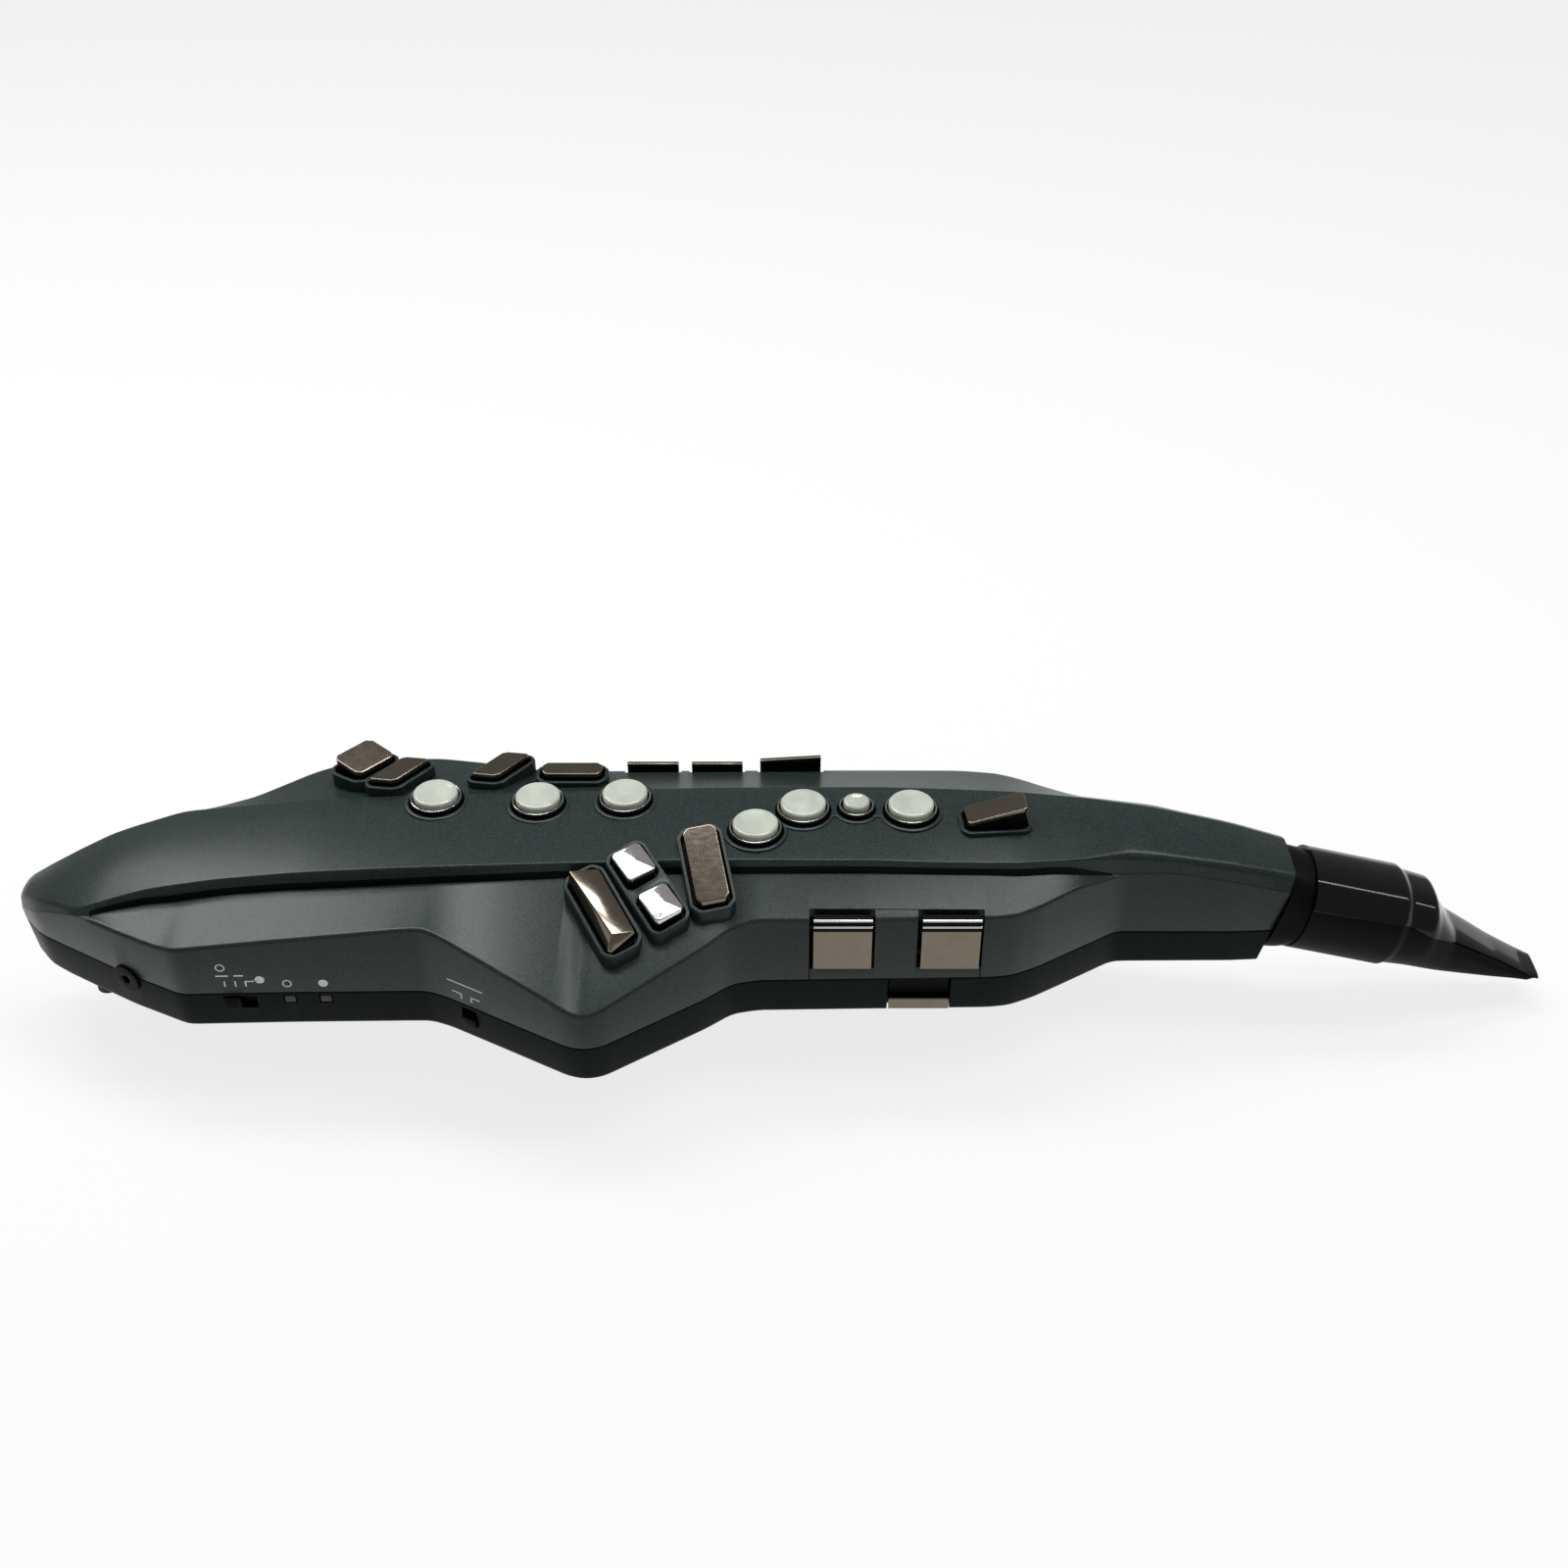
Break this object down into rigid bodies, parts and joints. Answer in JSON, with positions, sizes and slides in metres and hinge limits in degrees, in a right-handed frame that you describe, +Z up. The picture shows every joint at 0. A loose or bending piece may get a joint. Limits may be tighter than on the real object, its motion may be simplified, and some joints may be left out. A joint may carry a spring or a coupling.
{
  "type": "digital wind controller",
  "caption": "Electronic wind instrument played like a saxophone: long graphite body of two shells, pearl and nickel touch keys, short neck and black beak mouthpiece.",
  "frame": {"origin": "middle of the overall length and width, level with the flat of the thumb hook, which is the lowest point", "axes": "+Z up with the keys on top, +X along the body towards the mouthpiece's tip, -Y to the player's left side, which carries the little-finger keys"},
  "size_m": [0.574, 0.128, 0.0924],
  "materials": {
    "graphite_paint": "satin metallic graphite paint on moulded plastic",
    "satin_black": "satin black moulded plastic",
    "gloss_black": "gloss black moulded plastic",
    "dark_nickel": "polished dark nickel plating",
    "bright_chrome": "polished bright plating",
    "pearl_white": "pearl white moulded plastic",
    "soft_rubber": "soft black rubber",
    "board_green": "green laminate circuit board",
    "plain_steel": "plain steel",
    "pale_wrap": "plain pale sleeve of dry cells",
    "smoked_lens": "smoked clear plastic",
    "clear_tube": "pale silicone tube"
  },
  "bodies": {
    "case": {"upper_case": "graphite_paint", "lower_case": "graphite_paint", "palm_key_panel": "graphite_paint", "neck_collar": "satin_black", "breath_tube": "clear_tube", "breath_sensor": "satin_black", "thumb_rest": "soft_rubber", "thumb_hook": "satin_black", "display_window": "smoked_lens", "battery_cells": "pale_wrap", "main_board": "board_green", "key_switch_board": "board_green", "speaker": "satin_black", "headphone_socket": "gloss_black", "power_lamp_lens": "smoked_lens", "link_lamp_lens": "smoked_lens", "strap_bracket": "plain_steel", "bell_foot_1": "soft_rubber", "bell_foot_2": "soft_rubber"},
    "key_1": {"key_cup_1": "gloss_black", "key_pearl_1": "pearl_white"},
    "key_2": {"key_cup_2": "gloss_black", "key_pearl_2": "pearl_white"},
    "key_3": {"key_cup_3": "gloss_black", "key_pearl_3": "pearl_white"},
    "key_4": {"key_cup_4": "gloss_black", "key_pearl_4": "pearl_white"},
    "key_5": {"key_cup_5": "gloss_black", "key_pearl_5": "pearl_white"},
    "key_6": {"key_cup_6": "gloss_black", "key_pearl_6": "pearl_white"},
    "key_small": {"key_cup_small": "gloss_black", "key_pearl_small": "pearl_white"},
    "front_lever_key": {"front_lever_key": "dark_nickel"},
    "little_finger_key_ridged": {"little_finger_key_ridged": "dark_nickel"},
    "little_finger_key_small_upper": {"little_finger_key_small_upper": "bright_chrome"},
    "little_finger_key_small_lower": {"little_finger_key_small_lower": "bright_chrome"},
    "little_finger_key_flat": {"little_finger_key_flat": "dark_nickel"},
    "right_side_key_tall": {"right_side_key_tall": "dark_nickel"},
    "right_side_key_slanted_1": {"right_side_key_slanted_1": "dark_nickel"},
    "right_side_key_slanted_2": {"right_side_key_slanted_2": "dark_nickel"},
    "right_side_key_level": {"right_side_key_level": "dark_nickel"},
    "right_edge_key_1": {"right_edge_key_1": "dark_nickel"},
    "right_edge_key_2": {"right_edge_key_2": "dark_nickel"},
    "right_edge_key_3": {"right_edge_key_3": "dark_nickel"},
    "palm_key_1": {"palm_key_1": "dark_nickel"},
    "palm_key_2": {"palm_key_2": "dark_nickel"},
    "palm_key_low": {"palm_key_low": "bright_chrome"},
    "octave_key_up": {"octave_key_up": "dark_nickel"},
    "octave_key_down": {"octave_key_down": "dark_nickel"},
    "panel_button_1": {"panel_button_1": "satin_black"},
    "panel_button_2": {"panel_button_2": "satin_black"},
    "panel_button_3": {"panel_button_3": "satin_black"},
    "bend_rocker": {"bend_rocker": "satin_black"},
    "power_switch": {"power_switch": "satin_black"},
    "bite_switch": {"bite_switch": "satin_black"},
    "battery_cover": {"battery_cover": "graphite_paint"},
    "mouthpiece": {"mouthpiece": "gloss_black", "reed_plate": "satin_black"},
    "strap_ring": {"strap_ring": "plain_steel"}
  },
  "joints": [
    {"name": "key_1_press", "type": "slide", "parent": "case", "child": "key_1", "axis": [0, 0, -1], "range_m": [0, 0.0015], "stiffness_N_per_m": 300, "springref_m": -0.001},
    {"name": "key_2_press", "type": "slide", "parent": "case", "child": "key_2", "axis": [0, 0, -1], "range_m": [0, 0.0015], "stiffness_N_per_m": 300, "springref_m": -0.001},
    {"name": "key_3_press", "type": "slide", "parent": "case", "child": "key_3", "axis": [0, 0, -1], "range_m": [0, 0.0015], "stiffness_N_per_m": 300, "springref_m": -0.001},
    {"name": "key_4_press", "type": "slide", "parent": "case", "child": "key_4", "axis": [0, 0, -1], "range_m": [0, 0.0015], "stiffness_N_per_m": 300, "springref_m": -0.001},
    {"name": "key_5_press", "type": "slide", "parent": "case", "child": "key_5", "axis": [0, 0, -1], "range_m": [0, 0.0015], "stiffness_N_per_m": 300, "springref_m": -0.001},
    {"name": "key_6_press", "type": "slide", "parent": "case", "child": "key_6", "axis": [0, 0, -1], "range_m": [0, 0.0015], "stiffness_N_per_m": 300, "springref_m": -0.001},
    {"name": "key_small_press", "type": "slide", "parent": "case", "child": "key_small", "axis": [0, 0, -1], "range_m": [0, 0.0015], "stiffness_N_per_m": 300, "springref_m": -0.001},
    {"name": "front_lever_key_press", "type": "slide", "parent": "case", "child": "front_lever_key", "axis": [0, 0, -1], "range_m": [0, 0.0015], "stiffness_N_per_m": 300, "springref_m": -0.001},
    {"name": "little_finger_key_ridged_press", "type": "slide", "parent": "case", "child": "little_finger_key_ridged", "axis": [0, 0, -1], "range_m": [0, 0.0015], "stiffness_N_per_m": 300, "springref_m": -0.001},
    {"name": "little_finger_key_small_upper_press", "type": "slide", "parent": "case", "child": "little_finger_key_small_upper", "axis": [0, 0, -1], "range_m": [0, 0.0015], "stiffness_N_per_m": 300, "springref_m": -0.001},
    {"name": "little_finger_key_small_lower_press", "type": "slide", "parent": "case", "child": "little_finger_key_small_lower", "axis": [0, 0, -1], "range_m": [0, 0.0015], "stiffness_N_per_m": 300, "springref_m": -0.001},
    {"name": "little_finger_key_flat_press", "type": "slide", "parent": "case", "child": "little_finger_key_flat", "axis": [0, 0, -1], "range_m": [0, 0.0015], "stiffness_N_per_m": 300, "springref_m": -0.001},
    {"name": "right_side_key_tall_press", "type": "slide", "parent": "case", "child": "right_side_key_tall", "axis": [0, 0, -1], "range_m": [0, 0.0015], "stiffness_N_per_m": 300, "springref_m": -0.001},
    {"name": "right_side_key_slanted_1_press", "type": "slide", "parent": "case", "child": "right_side_key_slanted_1", "axis": [0, 0, -1], "range_m": [0, 0.0015], "stiffness_N_per_m": 300, "springref_m": -0.001},
    {"name": "right_side_key_slanted_2_press", "type": "slide", "parent": "case", "child": "right_side_key_slanted_2", "axis": [0, 0, -1], "range_m": [0, 0.0015], "stiffness_N_per_m": 300, "springref_m": -0.001},
    {"name": "right_side_key_level_press", "type": "slide", "parent": "case", "child": "right_side_key_level", "axis": [0, 0, -1], "range_m": [0, 0.0015], "stiffness_N_per_m": 300, "springref_m": -0.001},
    {"name": "right_edge_key_1_press", "type": "slide", "parent": "case", "child": "right_edge_key_1", "axis": [0, -1, 0], "range_m": [0, 0.001], "stiffness_N_per_m": 300, "springref_m": -0.001},
    {"name": "right_edge_key_2_press", "type": "slide", "parent": "case", "child": "right_edge_key_2", "axis": [0, -1, 0], "range_m": [0, 0.001], "stiffness_N_per_m": 300, "springref_m": -0.001},
    {"name": "right_edge_key_3_press", "type": "slide", "parent": "case", "child": "right_edge_key_3", "axis": [0, -1, 0], "range_m": [0, 0.001], "stiffness_N_per_m": 300, "springref_m": -0.001},
    {"name": "palm_key_1_press", "type": "slide", "parent": "case", "child": "palm_key_1", "axis": [0, 1, 0], "range_m": [0, 0.0015], "stiffness_N_per_m": 300, "springref_m": -0.001},
    {"name": "palm_key_2_press", "type": "slide", "parent": "case", "child": "palm_key_2", "axis": [0, 1, 0], "range_m": [0, 0.0015], "stiffness_N_per_m": 300, "springref_m": -0.001},
    {"name": "palm_key_low_press", "type": "slide", "parent": "case", "child": "palm_key_low", "axis": [0, 1, 0], "range_m": [0, 0.0015], "stiffness_N_per_m": 300, "springref_m": -0.001},
    {"name": "octave_key_up_press", "type": "slide", "parent": "case", "child": "octave_key_up", "axis": [0, 0, 1], "range_m": [0, 0.001], "stiffness_N_per_m": 300, "springref_m": -0.001},
    {"name": "octave_key_down_press", "type": "slide", "parent": "case", "child": "octave_key_down", "axis": [0, 0, 1], "range_m": [0, 0.001], "stiffness_N_per_m": 300, "springref_m": -0.001},
    {"name": "panel_button_1_press", "type": "slide", "parent": "case", "child": "panel_button_1", "axis": [0, 0, 1], "range_m": [0, 0.001], "stiffness_N_per_m": 300, "springref_m": -0.001},
    {"name": "panel_button_2_press", "type": "slide", "parent": "case", "child": "panel_button_2", "axis": [0, 0, 1], "range_m": [0, 0.001], "stiffness_N_per_m": 300, "springref_m": -0.001},
    {"name": "panel_button_3_press", "type": "slide", "parent": "case", "child": "panel_button_3", "axis": [0, 0, 1], "range_m": [0, 0.001], "stiffness_N_per_m": 300, "springref_m": -0.001},
    {"name": "bend_rocker_tilt", "type": "hinge", "parent": "case", "child": "bend_rocker", "pos_m": [-0.1039, 0.0115, 0.0231], "axis": [0, 1, 0], "range_deg": [-6, 6], "stiffness_Nm_per_rad": 0.06},
    {"name": "power_switch_slide", "type": "slide", "parent": "case", "child": "power_switch", "axis": [0.9999, 0.0173, 0], "range_m": [0, 0.0048]},
    {"name": "bite_switch_slide", "type": "slide", "parent": "case", "child": "bite_switch", "axis": [0, 0, 1], "range_m": [0, 0.003]},
    {"name": "battery_cover_off", "type": "slide", "parent": "case", "child": "battery_cover", "axis": [0, 0, -1], "range_m": [0, 0.02]},
    {"name": "mouthpiece_pull", "type": "slide", "parent": "case", "child": "mouthpiece", "axis": [0.9703, 0, -0.2419], "range_m": [0, 0.02]},
    {"name": "strap_ring_swing", "type": "hinge", "parent": "case", "child": "strap_ring", "pos_m": [-0.0548, 0.0115, 0.01735], "axis": [0, 1, 0], "range_deg": [-35, 35]}
  ]
}
